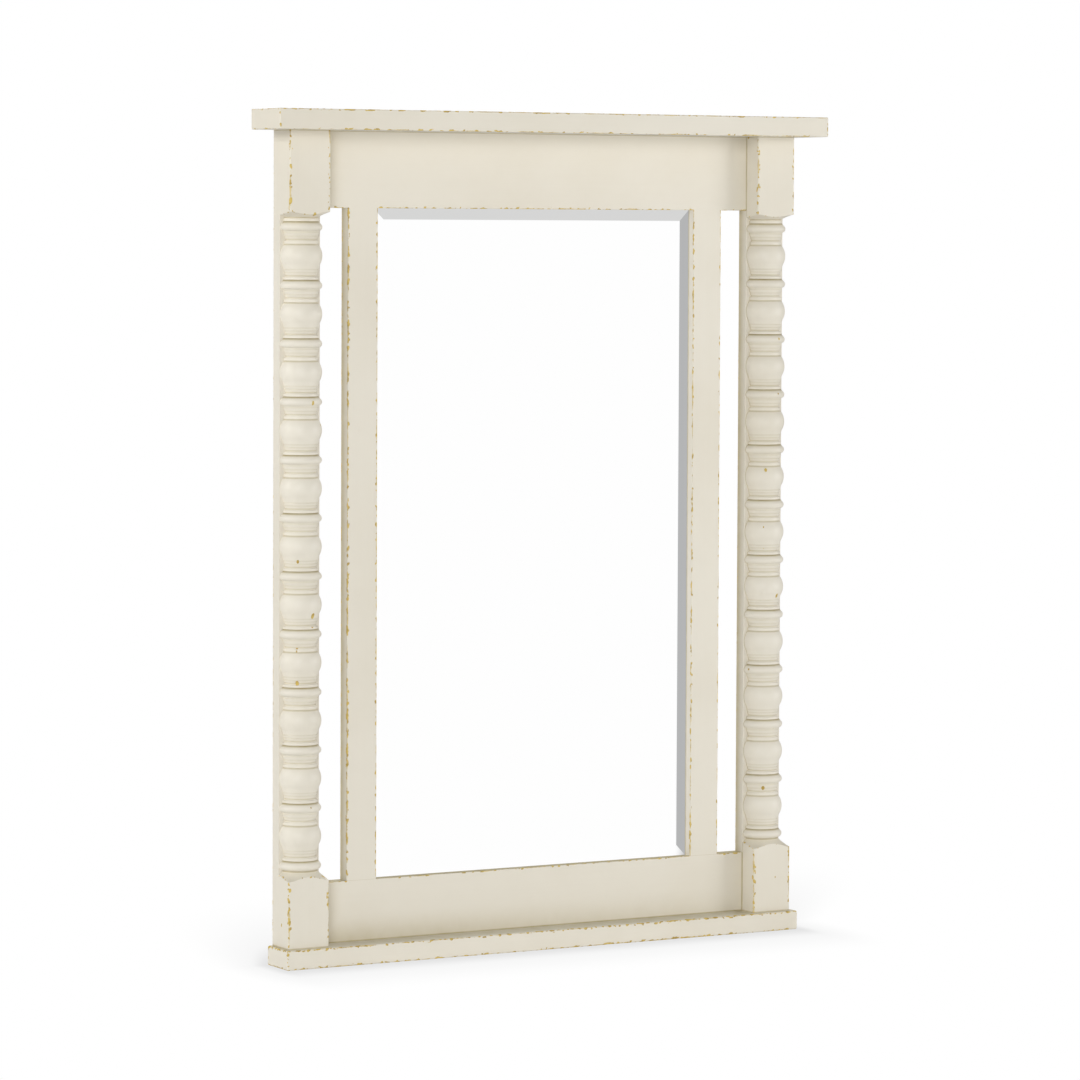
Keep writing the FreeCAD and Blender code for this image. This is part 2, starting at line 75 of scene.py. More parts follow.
# How glaze and painted shade lie in corners, in slots and on shelves
SHADE_GLAZE_WIDTH = 0.0022
SHELF_FACTOR = 6.0
LEDGE_SHARE = 0.55
SLOT_SHARE = 1.15
# Painted shade, thin, on the rails near the blocks and the ledge: its share, its lean to the left end, and
# its span
THIN_SHADE, THIN_LEAN, THIN_SPAN = 0.24, 0.5, (-0.008, 0.042)

# How much glaze and painted shade stays in the corners of a piece, and in those of the bottom rail
SHADE_GLAZE_STRENGTH, SHELF_SHADE_STRENGTH = 0.7, 1.0
# How mottle varies the glaze and painted shade, and where a hollow's glaze and shade turn deep
SHADE_GLAZE_EVEN, SHADE_GLAZE_MOTTLED, DEEP_LIMITS = 0.7, 0.6, (0.3, 1.0)

# Chips and the thin worn line along an edge: limits of their noise, and how fast they end inwards
CHIP_LIMITS, CHIP_REACH, CHIP_CEILING = (0.526, 0.542), 0.13, 0.67
LINE_LIMITS, LINE_REACH, LINE_STRENGTH = (0.41, 0.55), 0.28, 0.7
CHIP_RAGGED, CHIP_DRIFT, LINE_RAGGED = 0.10, 0.12, 0.2

# Specks on the posts: which cells have one, its size and its soft rim in cells, its stretch, its raggedness
SPECK_CHANCE, SPECK_GROWTH, SPECK_FADE = 0.55, 0.36, 0.012
SPECK_STRETCH, SPECK_SHIFT = (1.0, 1.0, 0.6), (0.0012, 0.0012, 0.0020)

# Scales of the noise in the paint, along and across the brush, in repeats per metre
BRUSH_ALONG, BRUSH_ACROSS = 7.0, 260.0
TONE_SCALE, MOTTLE_SCALE, BARE_SCALE, PIT_SCALE = 3.4, 60.0, 150.0, 21.0
DRIFT_SCALE, RAGGED_SCALE, LINE_SCALE, TWIST_SCALE = 6.5, 420.0, 34.0, 130.0

# What tone, brush marks and mottle add to the warmer tone, and limits of the noise for tone, wood and pits
SHADE_TONE, SHADE_STREAKS, SHADE_MOTTLE = 0.8, 0.35, 0.4
SHADE_LIMITS, BARE_LIMITS, PIT_LIMITS = (0.40, 0.66), (0.36, 0.56), (0.03, 0.06)

# Roughness of the paint, and what mottle and bare wood add to it
ROUGHNESS, ROUGH_MOTTLE, ROUGH_BARE = 0.46, 0.12, 0.25

# Boards that are worn more, and boards beside the plate that its bevels don't show
BOARD_WEAR = {"cap_board": 0.02, "base_board": 0.08, "left_inner_stile": 0.08,
              "right_inner_stile": 0.035, "top_rail": 0.045}
UNSEEN_IN_PLATE = ("inner_stile", "top_rail", "bottom_rail")

# The studio in reflections and under the camera
WHITE = (1.0, 1.0, 1.0, 1.0)
SIDE_GREY = (0.462, 0.465, 0.468, 1.0)
UPPER_GREY = (0.675, 0.675, 0.67, 1.0)
SIDE_TANGENTS = (math.tan(math.radians(32.5)), math.tan(math.radians(36)))
BACK_SPAN, UPPER_SPAN = (-0.5, 0.7), (0.035, 0.055)
ZENITH_BLUE = 0.94

# The shade round the foot: pairs of reach and depth, and how it stretches behind and aside
SHADOW = ((0.07, 0.13), (0.22, 0.09))
FOOT_BACK = 3.0
FOOT_ASIDE = 2.6
FOOT_SPREAD = 5.0
FOOT_LEAN = math.tan(math.radians(29.5))


def linear(red, green, blue):
    """A colour given in screen values of 0 to 255, as the linear values that shaders use."""
    screen = np.array([red, green, blue]) / 255
    low, high = screen / 12.92, ((screen + 0.055) / 1.055) ** 2.4
    return tuple(float(v) for v in np.where(screen <= 0.04045, low, high)) + (1.0,)


def setting_maker(kind, **options):
    """A function that makes settings of one kind, each from its name, its description and its default."""
    def make(name, description, default):
        return kind(name=name, description=description, default=default, **options)
    return make


# Colours are linear, lengths and places in metres, angles in radians, powers in watts, shares from 0 to 1
colour_property = setting_maker(FloatVectorProperty, size=4, min=0, max=1, subtype="COLOR")
length_property = setting_maker(FloatProperty, min=0, unit="LENGTH", precision=4)
place_property = setting_maker(FloatVectorProperty, unit="LENGTH")
angle_property = setting_maker(FloatProperty, unit="ROTATION")
power_property = setting_maker(FloatProperty, min=0, unit="POWER")
share_property = setting_maker(FloatProperty, min=0, max=1)


class PaintSettings(bpy.types.PropertyGroup):
    """The cream paint, what shows where it is rubbed away, and the antique glaze, which also serves as
    painted shade.
    """

    cream: colour_property("Cream", "Main colour of the paint", linear(232, 226, 212))
    shade: colour_property("Shade", "Warmer tone that drifts through the paint", linear(227, 220, 204))
    # The glaze colours also paint shade in corners, in slots, on shelves and in the posts' hollows
    glaze: colour_property("Glaze", "Antique glaze left in hollows", linear(177, 162, 112))
    deep_shade_glaze: colour_property("Deep glaze", "Glaze where it lies thick in turned grooves",
                                linear(157, 140, 92))
    ochre: colour_property("Ochre", "Undercoat in a chip", linear(213, 186, 100))
    umber: colour_property("Umber", "Bare wood in a deep chip", linear(181, 153, 75))
    chip_width: length_property("Chip width", "How far a usual chip reaches in from an edge", 0.0020)
    chip_length: length_property("Chip length", "Length of a usual chip along an edge", 0.0080)
    speck_spacing: length_property("Speck spacing", "Usual distance between specks on the posts", 0.020)
    shade_glaze_width: length_property("Glaze width", "How far glaze reaches out of an inside corner", SHADE_GLAZE_WIDTH)
    brush_depth: length_property("Brush depth", "Depth of the brush marks", 0.00006)
    chip_depth: length_property("Chip depth", "Thickness of the paint that a chip has lost", 0.0003)


class PostSettings(bpy.types.PropertyGroup):
    """The turned half posts, as a woodturner would set them out."""

    beads: IntProperty(name="Beads", description="Beads along one post", default=12, min=2)
    top_block: length_property("Top block", "Height of the square block at the top", 0.115)
    bottom_block: length_property("Bottom block", "Height of the square block at the foot", 0.096)
    shoulder: length_property("Shoulder", "Height of the curve at the lower block", 0.013)
    top_shoulder: length_property("Top shoulder", "Height of the curve at the upper block", 0.0086)
    end_fillet: length_property("End fillet", "Height of the flat band beside a shoulder", 0.0015)
    reveal: length_property("Reveal", "How far the turning stays inside the square stock", 0.0005)
    groove_depth: length_property("Groove depth", "Depth of the fine turned grooves", 0.0004)
    groove_width: length_property("Groove width", "Width of the fine turned grooves", 0.0013)


class PlateSettings(bpy.types.PropertyGroup):
    """The silvered plate."""

    silver: colour_property("Silver", "Tint of the reflection", linear(254, 254, 254))


class HardwareSettings(bpy.types.PropertyGroup):
    """The metal, rubber and board at the back."""

    zinc: colour_property("Zinc", "Plated screws", linear(190, 190, 186))
    nickel: colour_property("Nickel", "Hangers and rings", linear(204, 199, 188))
    rubber: colour_property("Rubber", "Wall bumpers and setting blocks", linear(42, 41, 40))
    hardboard: colour_property("Hardboard", "Back panel", linear(134, 100, 68))
    kraft: colour_property("Kraft", "Pad behind the plate", linear(182, 148, 106))
    recess_depth: length_property("Recess depth", "Depth of the cross in a screw's head", 0.0011)


class StageSettings(bpy.types.PropertyGroup):
    """Floor, lamps, room and camera."""

    floor: colour_property("Floor", "Pale floor", linear(247, 247, 247))
    floor_size: length_property("Floor size", "Side of the floor", 60.0)
    sky: share_property("Sky", "Strength of the room's light ahead of the mirror", 0.65)
    zenith: share_property("Zenith", "Share of that light that comes from overhead", 0.28)
    rear: share_property("Rear", "Share of that light that comes from behind the mirror", 0.5)
    floor_glow: share_property("Floor glow", "Light that the lit floor sends up", 0.05)
    key_power: power_property("Key power", "Power of the front lamp", 203)
    key_place: place_property("Key place", "Middle of the front lamp", (-4.95, -6.6, 2.25))
    fill_power: power_property("Fill power", "Power of the lamp to the front right", 59)
    fill_place: place_property("Fill place", "Middle of the lamp to the front right", (3.9, -2.6, 1.0))
    side_power: power_property("Side power", "Power of the lamp beside the mirror", 140)
    side_place: place_property("Side place", "Middle of the lamp beside the mirror", (-6.3, 0.53, 3.2))
    rear_power: power_property("Rear power", "Power of the lamp above and behind", 52)
    rear_place: place_property("Rear place", "Middle of the lamp above and behind", (0.8, 2.6, 2.9))
    lamp_size: length_property("Lamp size", "Side of the fill and rear lamps", 1.8)
    far_size: length_property("Far lamp size", "Side of the front and side lamps", 2.7)
    camera_place: place_property("Camera place", "Where the camera stands", (-3.3939, -5.9725, 1.0562))
    yaw: angle_property("Yaw", "Turn of the camera to the right", math.radians(29.548))
    pitch: angle_property("Pitch", "Tilt of the camera, down if negative", math.radians(-2.718))
    roll: angle_property("Roll", "Turn of the picture, clockwise", math.radians(0.246))
    lens: FloatProperty(name="Lens", description="Focal length in millimetres on a 36 mm sensor",
                        default=157.15, min=1)
    rise: FloatProperty(name="Rise", description="Vertical shift of the lens, in widths of the picture",
                        default=-0.0833)


class Graph:
    """A node tree that is filled by calls."""

    def __init__(self, tree):
        self.tree = tree

    def node(self, kind, settings=None, inputs=None, output=0):
        """Adds a node, applies its settings, then fills its sockets with values or links."""
        made = self.tree.nodes.new(kind)
        for name, value in (settings or {}).items():
            setattr(made, name, value)
        for name, value in (inputs or {}).items():
            if isinstance(value, Value):
                self.tree.links.new(value.socket, made.inputs[name])
            else:
                made.inputs[name].default_value = value
        return Value(self, made.outputs[output]) if made.outputs else made


def arithmetic(operation):
    """A method of Value that adds a Math node of one operation."""
    def method(value, *others):
        return value.math(operation, *others)
    return method


class Value:
    """One output socket, on which Python's arithmetic adds Math nodes, and so do least and most."""

    def __init__(self, graph, socket):
        self.graph = graph
        self.socket = socket

    def math(self, operation, *others, clamp=False):
        """A Math node on this value and others."""
        settings = {"operation": operation, "use_clamp": clamp}
        return self.graph.node("ShaderNodeMath", settings, dict(enumerate((self, *others))))

    __add__ = __radd__ = arithmetic("ADD")
    __sub__ = arithmetic("SUBTRACT")
    __mul__ = __rmul__ = arithmetic("MULTIPLY")
    __truediv__ = arithmetic("DIVIDE")
    __abs__ = arithmetic("ABSOLUTE")
    least = arithmetic("MINIMUM")
    most = arithmetic("MAXIMUM")

    def __rsub__(self, other):
        return self * -1 + other

    def clamped(self):
        """The value kept between 0 and 1."""
        return self.math("ADD", 0.0, clamp=True)

    def step(self, low, high):
        """0 below low, 1 above high, and smooth between them."""
        settings = {"interpolation_type": "SMOOTHSTEP"}
        inputs = {"Value": self, "From Min": low, "From Max": high}
        return self.graph.node("ShaderNodeMapRange", settings, inputs)


def mixed(graph, share, first, second):
    """A colour between first and second."""
    return graph.node("ShaderNodeMix", {"data_type": "RGBA"}, {0: share, 6: first, 7: second}, output=2)


def grey(level):
    """A linear grey."""
    return (level, level, level, 1.0)


def split(graph, vector):
    """The three parts of a vector."""
    return [graph.node("ShaderNodeSeparateXYZ", None, {0: vector}, output=n) for n in range(3)]


def object_point(graph):
    """The point on the object, as a vector."""
    return graph.node("ShaderNodeTexCoord", output="Object")


def light_path(graph, kind):
    """1 for rays of one kind, such as camera rays, and 0 for others."""
    return graph.node("ShaderNodeLightPath", output=kind)


def attribute(graph, name):
    """A value that the mesh carries."""
    return graph.node("ShaderNodeAttribute", {"attribute_name": name}, output="Fac")


def least_of(values):
    """The smallest of several values."""
    smallest, *others = values
    for value in others:
        smallest = smallest.least(value)
    return smallest


def noise(graph, point, scale, detail=2.0, roughness=0.5):
    """Smooth noise, about 0.5 on average."""
    inputs = {"Vector": point, "Scale": scale, "Detail": detail, "Roughness": roughness}
    return graph.node("ShaderNodeTexNoise", None, inputs)


def stretched(graph, point, scales):
    """The point scaled along each axis, so that noise on it runs in streaks."""
    return graph.node("ShaderNodeMapping", None, {"Vector": point, "Scale": scales})


def empty_graph(owner):
    """The graph of a material or a world, with no nodes yet."""
    owner.use_nodes = True
    owner.node_tree.nodes.clear()
    return Graph(owner.node_tree)


def new_material(name):
    """An empty node material and its graph."""
    material = bpy.data.materials.new(name)
    return material, empty_graph(material)


def finish_material(graph, inputs):
    """Ends a material in one Principled shader."""
    shader = graph.node("ShaderNodeBsdfPrincipled", None, inputs)
    graph.node("ShaderNodeOutputMaterial", None, {"Surface": shader})


def span_distance(value, low, high):
    """How far a coordinate lies outside the stretch from low to high."""
    return (low - value).most(value - high).most(0.0)


def line_distance(first, second, along, places, spans):
    """Distance to a straight edge, in the square section round it, on the stretches where it shows."""
    across = abs(first - places[0]).most(abs(second - places[1]))
    return across + least_of(span_distance(along, *span) for span in spans)


def box_distance(parts, low, high):
    """Distance to the nearest edge of a box, for a point on the box: its second smallest depth."""
    depths = [(high[n] - low[n]) / 2 - abs(parts[n] - (high[n] + low[n]) / 2) for n in range(3)]
    lesser, greater = depths[0].least(depths[1]), depths[0].most(depths[1])
    return lesser.most(greater.least(depths[2]))


def board_edges(kind, parts):
    """Distance to the nearest edge that shows on a board. Left and right boards are alike."""
    x, y, z = abs(parts[0]), parts[1], parts[2]
    if kind == "cap_board":
        return box_distance(parts, CAP_LOW, CAP_HIGH)
    if kind == "base_board":
        return box_distance(parts, BASE_LOW, BASE_HIGH)
    if "rail" in kind:
        place = OPENING_HIGH if kind == "top_rail" else OPENING_LOW
        spans = [(-1.0, OPENING_HALF), (INNER_OUT, STILE_IN)]
        front = line_distance(y, z, x, (FRONT_PLANE, place), spans)
        return front.least(line_distance(y, z, x, (BACK_PLANE, place), spans[1:]))
    shown = [(OPENING_LOW, OPENING_HIGH)]
    if "inner" in kind:
        edges = [(OPENING_HALF, FRONT_PLANE, shown), (INNER_OUT, FRONT_PLANE, shown),
                 (INNER_OUT, BACK_PLANE, shown)]
    else:
        whole = [(STILE_LOW.z, STILE_HIGH.z)]
        edges = [(STILE_IN, BACK_PLANE, shown), (STILE_OUT, BACK_PLANE, whole)]
    return least_of(line_distance(x, y, z, (across, depth), spans) for across, depth, spans in edges)


def shade_glaze_distance(kind, parts):
    """Distance to the nearest place where glaze and painted shade gather: an inside corner, a slot's side
    or a shelf.

    On a side or a shelf the distance to its plane counts several times, so the glaze and painted shade
    hardly run over the edge. A slot's side holds more painted shade towards the back."""
    x, y, z = abs(parts[0]), parts[1], parts[2]
    under_cap, over_base = CAP_LOW.z - z, z - BASE_HIGH.z
    if kind == "top_rail":
        return under_cap.least(STILE_IN - x)
    if kind == "bottom_rail":
        # The rail's top face in the opening gets painted shade, as a shelf does
        return least_of((over_base, STILE_IN - x, (OPENING_LOW - z) * SHELF_FACTOR))
    if kind == "post":
        return under_cap.least(over_base).least((FRONT_PLANE - y).most(x - POST_MIDDLE))
    # On the ledge's top, painted shade, deeper towards the back
    if kind == "base_board":
        towards_front = (FRONT_PLANE - y).most(0.0) * (LEDGE_SHARE * SHADE_GLAZE_WIDTH / (FRONT_PLANE - BASE_LOW.y))
        return (BASE_HIGH.z - z) * SHELF_FACTOR + towards_front
    side = STILE_IN - x if kind == "outer_stile" else x - INNER_OUT
    depth_share = SLOT_SHARE * SHADE_GLAZE_WIDTH / (BACK_PLANE - FRONT_PLANE)
    # In a slot, painted shade, deeper towards the back
    in_slot = abs(side) * SHELF_FACTOR + (BACK_PLANE - y) * depth_share
    if kind == "inner_stile":
        # In the rebate beside the plate, painted shade, deeper towards the glass
        rebate = abs(x - OPENING_HALF) * SHELF_FACTOR + (GLASS_FRONT - y)
        return in_slot.least(rebate)
    return under_cap.least(over_base).least(in_slot)


def soft_shade(kind, parts):
    """Painted shade, laid as a thin glaze, on a rail towards the blocks and the ledge, more of it at the left
    end.
    """
    gap = STILE_IN - abs(parts[0])
    if kind == "bottom_rail":
        gap = gap.least(parts[2] - BASE_HIGH.z)
    return (1 - gap.step(*THIN_SPAN)) * (THIN_SHADE - parts[0] * THIN_LEAN)


def edge_wear(graph, point, distance, grain, wear):
    """Chips along an edge, and the thin worn line on it.

    A chip is where noise along an edge, less a share of the distance to the edge, passes a threshold
    that drifts slowly, so that chips come in groups and taper to points. Wear lowers the threshold."""
    s = bpy.context.scene.mirror_paint
    spread = tuple(1.0 if axis == grain else 1.5 for axis in range(3))
    along = noise(graph, stretched(graph, point, spread), 1 / s.chip_length, 1.0)
    drift = noise(graph, point, DRIFT_SCALE, 1.0)
    ragged = noise(graph, point, RAGGED_SCALE, 2.0)
    field = along.least(CHIP_CEILING) + (ragged - 0.5) * CHIP_RAGGED + (drift - 0.5) * CHIP_DRIFT
    field = field + wear - distance * (CHIP_REACH / s.chip_width)
    line = noise(graph, point, LINE_SCALE, 3.0) + (ragged - 0.5) * LINE_RAGGED
    line = line - distance * (LINE_REACH / s.chip_width)
    worn_line = line.step(LINE_LIMITS[0] - wear, LINE_LIMITS[1] - wear) * LINE_STRENGTH
    return field.step(*CHIP_LIMITS), worn_line


def specks(graph, point):
    """Bare specks: small ragged drops round the middle of some cells of a Voronoi pattern."""
    spacing = bpy.context.scene.mirror_paint.speck_spacing
    twist = graph.node("ShaderNodeTexNoise", None, {"Vector": point, "Scale": TWIST_SCALE}, output="Color")
    shifted = graph.node("ShaderNodeVectorMath", {"operation": "MULTIPLY_ADD"},
                         {0: twist, 1: SPECK_SHIFT, 2: point})
    cells = {"Vector": stretched(graph, shifted, SPECK_STRETCH), "Scale": 1 / spacing}
    gap = graph.node("ShaderNodeTexVoronoi", None, cells, output="Distance")
    fate = graph.node("ShaderNodeTexVoronoi", None, cells, output="Color")
    chance = graph.node("ShaderNodeSeparateColor", None, {0: fate})
    return ((chance - SPECK_CHANCE) * SPECK_GROWTH - gap).step(0.0, SPECK_FADE)


def shade_glazed(graph, kind, parts, colour, mottle):
    """A colour with glaze and painted shade over it, in inside corners, on the ends of rails and in turned
    hollows.
    """
    s = bpy.context.scene.mirror_paint
    shade_glaze_colour = s.glaze[:]
    strength = SHELF_SHADE_STRENGTH if kind == "bottom_rail" else SHADE_GLAZE_STRENGTH
    glaze = (1 - shade_glaze_distance(kind, parts).step(0.0, s.shade_glaze_width)) * strength
    # Painted shade on a rail, thin, towards the blocks and the ledge
    if "rail" in kind:
        thin = soft_shade(kind, parts)
        glaze = glaze + thin * (1 - glaze)
    # On a post, the mesh's groove values carry glaze and painted shade in creases and hollows
    if kind == "post":
        hollow = attribute(graph, "groove")
        glaze = hollow.most(glaze)
        shade_glaze_colour = mixed(graph, hollow.step(*DEEP_LIMITS), s.glaze[:], s.deep_shade_glaze[:])
    return mixed(graph, (glaze * (mottle * SHADE_GLAZE_MOTTLED + SHADE_GLAZE_EVEN)).clamped(), colour, shade_glaze_colour)


def relief(graph, point, streaks, mottle, chips):
    """The surface's fine heights, as a normal: brush marks, chips and a few small pits."""
    s = bpy.context.scene.mirror_paint
    cells = {"Vector": point, "Scale": PIT_SCALE}
    pit = 1 - graph.node("ShaderNodeTexVoronoi", None, cells, output="Distance").step(*PIT_LIMITS)
    height = (streaks - 0.5) * s.brush_depth + (mottle - 0.5) * (0.5 * s.brush_depth)
    height = height - chips * s.chip_depth - pit * (2 * s.brush_depth)
    return graph.node("ShaderNodeBump", None, {"Strength": 1.0, "Distance": 1.0, "Height": height})


def paint(name, kind, grain):
    """Cream paint over ochre, chipped along the edges, brushed along the grain, with glaze and painted shade
    in the hollows.

    A post's mesh carries the distance to its edges, and a board's is worked out from its place."""
    s = bpy.context.scene.mirror_paint
    material, graph = new_material("painted_" + name)
    point = object_point(graph)
    parts = split(graph, point)
    distance = attribute(graph, "edge") if kind == "post" else board_edges(kind, parts)
    chips, worn_line = edge_wear(graph, point, distance, grain, BOARD_WEAR.get(name, 0.0))
    tone = noise(graph, point, TONE_SCALE, 3.0)
    mottle = noise(graph, point, MOTTLE_SCALE, 4.0)
    scales = tuple(BRUSH_ALONG if axis == grain else BRUSH_ACROSS for axis in range(3))
    streaks = noise(graph, stretched(graph, point, scales), 1.0, 3.0, 0.6)
    share = tone.step(*SHADE_LIMITS) * SHADE_TONE + (streaks - 0.5) * SHADE_STREAKS
    share = (share + (mottle - 0.5) * SHADE_MOTTLE).clamped()
    colour = mixed(graph, share, s.cream[:], s.shade[:])
    if kind != "cap_board":
        colour = shade_glazed(graph, kind, parts, colour, mottle)
    if kind == "post":
        chips = chips.most(specks(graph, point))
    deep = noise(graph, point, BARE_SCALE, 3.0).step(*BARE_LIMITS)
    colour = mixed(graph, chips.most(worn_line), colour, mixed(graph, deep, s.umber[:], s.ochre[:]))
    rough = ROUGHNESS + (mottle - 0.5) * ROUGH_MOTTLE + chips * ROUGH_BARE
    bump = relief(graph, point, streaks, mottle, chips)
    finish_material(graph, {"Base Color": colour, "Roughness": rough, "Normal": bump})
    return material


def give(node_name, material):
    """Puts one material on a solid of the frame."""
    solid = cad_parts[node_name]
    if not solid.material_slots:
        solid.data.materials.append(material)
    for slot in solid.material_slots:
        slot.link = "OBJECT"
        slot.material = material


def add_object(name, data):
    """A new object in the scene."""
    made = bpy.data.objects.new(name, data)
    bpy.context.collection.objects.link(made)
    return made


def new_piece(name, vertices, faces, smooth_angle):
    """A mesh object from arrays, with edges over the given angle kept sharp."""
    mesh = bpy.data.meshes.new(name)
    mesh.from_pydata(vertices, [], faces)
    mesh.validate()
    mesh.shade_smooth()
    mesh.set_sharp_from_angle(angle=math.radians(smooth_angle))
    return add_object(name, mesh)


def closed_grid(rows, columns):
    """Faces over points numbered row by row: quads round each row, and one face at each end."""
    row, column = np.meshgrid(np.arange(rows - 1), np.arange(columns), indexing="ij")
    here, right = row * columns + column, row * columns + (column + 1) % columns
    quads = np.stack([here, right, right + columns, here + columns], axis=-1).reshape(-1, 4).tolist()
    return quads + [list(range(columns))[::-1], list(range((rows - 1) * columns, rows * columns))]


class PaintBoards(bpy.types.Operator):
    """Paint the cap, the ledge, the rails and the stiles"""

    bl_idname = "mirror.paint_boards"
    bl_label = "Paint boards"

    def execute(self, context):
        """One material for each board, with the grain along its length."""
        for kind in ("cap_board", "base_board", "top_rail", "bottom_rail", "outer_stile", "inner_stile"):
            upright = "stile" in kind
            for side in ("left_", "right_") if upright else ("",):
                give(side + kind, paint(side + kind, kind, 2 if upright else 0))
                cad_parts[side + kind].visible_glossy = kind not in UNSEEN_IN_PLATE
        return {"FINISHED"}


# Lengths in the turned pattern, in shares of the pitch
BEAD_LENGTH, COVE_LENGTH, FLARE_LENGTH = 0.160, 0.148, 0.028
LOW_FILLET_LENGTH, HIGH_FILLET_LENGTH = 0.048, 0.043
# Places along one form, in shares of its own length
CHAMFER_PLACE, BEAD_PLACE, BELLY_PLACE = 0.30, 0.54, 0.33
COVE_RINGS, VASE_RINGS = (0.12, 0.57), (0.79, 0.885)
# Glaze and painted shade, from 0 to 1, at the places where they lie along a post
BEAD_SHADE_GLAZE, END_SHADE_GLAZE, LOW_FILLET_SHADE_GLAZE, VASE_FOOT_SHADE_GLAZE, NECK_SHADE_GLAZE = 0.85, 0.75, 0.45, 0.45, 0.4
RING_SHADE_GLAZE, BEAD_FOOT_SHADE_GLAZE, SHOULDER_SHADE_GLAZE = 0.16, 0.2, 0.16
SHADE_GLAZE_RUN, SHADE_GLAZE_BAND, SHADE_GLAZE_FADE = 1.2 * MM, 0.5 * MM, 0.5 * MM
# Radii, in shares of the largest radius
BEAD_TOP, BEAD_CHAMFER, BEAD_FOOT = 0.83, 0.95, 0.87
NECK, LOW_FILLET, HIGH_FILLET, END_FILLET = 0.73, 0.815, 0.845, 0.83
VASE_TOP, VASE_TAPER, VASE_FOOT, END_NECK = 0.83, 0.885, 0.735, 0.79
# Middle of each shoulder's curve, in shares of half the stock and of the shoulder's height
SHOULDER_MIDDLE, TOP_SHOULDER_MIDDLE = (1.02, 0.55), (1.06, 0.47)
# Roundness of the square stock's corners
CORNER_POWER = 44.0
# The grid: rows on the blocks, points on the curves, and columns every few degrees and at the corners
TOP_ROWS, FOOT_ROWS = 60, 48
SHOULDER_POINTS, BEAD_POINTS, BELLY_POINTS, FLARE_POINTS = 30, 12, 18, 7
COLUMN_STEP, CORNER_COLUMNS = 3.75, (-2.6, -1.3, -0.5, 0.5, 1.3, 2.6)
# Wear: how distances count from a crease, inside and outside a block, and a distance past all wear
CREASE_SHARE, CREASE_START, TURNED_START, FAR = 0.7, 0.5 * MM, 0.4 * MM, 50 * MM


def through(start, middle, end, count):
    """Points on the circle through three points, from start to end.

    With the points as complex numbers and w the second chord over the first, both from the start, the
    centre lies at the start plus the first chord times (w - |w|^2) / (2i Im w)."""
    first, second, third = (complex(*point) for point in (start, middle, end))
    w = (third - first) / (second - first)
    centre = first + (second - first) * (w - abs(w) ** 2) / (2j * w.imag)
    angles = np.unwrap(np.angle([first - centre, second - centre, third - centre]))
    sweep = centre + abs(first - centre) * np.exp(1j * np.linspace(angles[0], angles[2], count))
    return np.stack([sweep.real, sweep.imag], axis=1)


class Outline:
    """A turned outline, drawn from the top down as (radius, height) points, with marks where glaze and
    painted shade lie.
    """

    def __init__(self, start):
        self.points = [np.array([start])]
        self.marks = []

    def mark(self, high, low, glaze):
        """Glaze and painted shade between two heights."""
        self.marks.append((high, low, glaze))

    def line(self, radius, height):
        """A straight stretch to a point, with closer points near its ends."""
        start, end = self.points[-1][-1], np.array([radius, height])
        length = math.dist(start, end)
        near = np.array([0.4, 1.0]) * MM / length
        shares = np.concatenate([near[near < 0.5], 1 - near[near < 0.5][::-1], [1.0]])
        self.points.append(start + (end - start) * shares[:, None])

    def arc(self, middle, end, count):
        """A round stretch through a middle point to an end."""
        self.points.append(through(tuple(self.points[-1][-1]), middle, end, count)[1:])

    def groove(self, radius, height, s):
        """A fine groove whose upper edge is at the given height."""
        self.line(radius, height)
        self.mark(height, height - s.groove_width, RING_SHADE_GLAZE)
        bottom = (radius - s.groove_depth, height - s.groove_width / 2)
        self.points.append(np.array([bottom, (radius, height - s.groove_width)]))

    def grooved_taper(self, first, last, shares, height_first, height_last, s):
        """A straight taper between two radii, with a fine groove at each share of the way."""
        fall = height_last - height_first
        for share in shares:
            self.groove(first + (last - first) * share, height_first + fall * share, s)
        self.line(last, height_last)

    def flare(self, radius, height):
        """A hollow sweep, a quarter of an ellipse, out to the rim of a fillet."""
        start = self.points[-1][-1]
        deep = math.sqrt(0.5)
        middle = (radius - (radius - start[0]) * deep, start[1] + (height - start[1]) * deep)
        self.arc(middle, (radius, height), FLARE_POINTS)


def turn_bead(turning, top, length, big):
    """A bead: a fillet's step, a flat chamfer and a round down to its foot."""
    turning.mark(top, top - SHADE_GLAZE_RUN, BEAD_SHADE_GLAZE)
    turning.mark(top - length, top - length, BEAD_FOOT_SHADE_GLAZE)
    turning.line(big * BEAD_TOP, top)
    turning.line(big * BEAD_CHAMFER, top - length * CHAMFER_PLACE)
    turning.arc((big, top - length * BEAD_PLACE), (big * BEAD_FOOT, top - length), BEAD_POINTS)


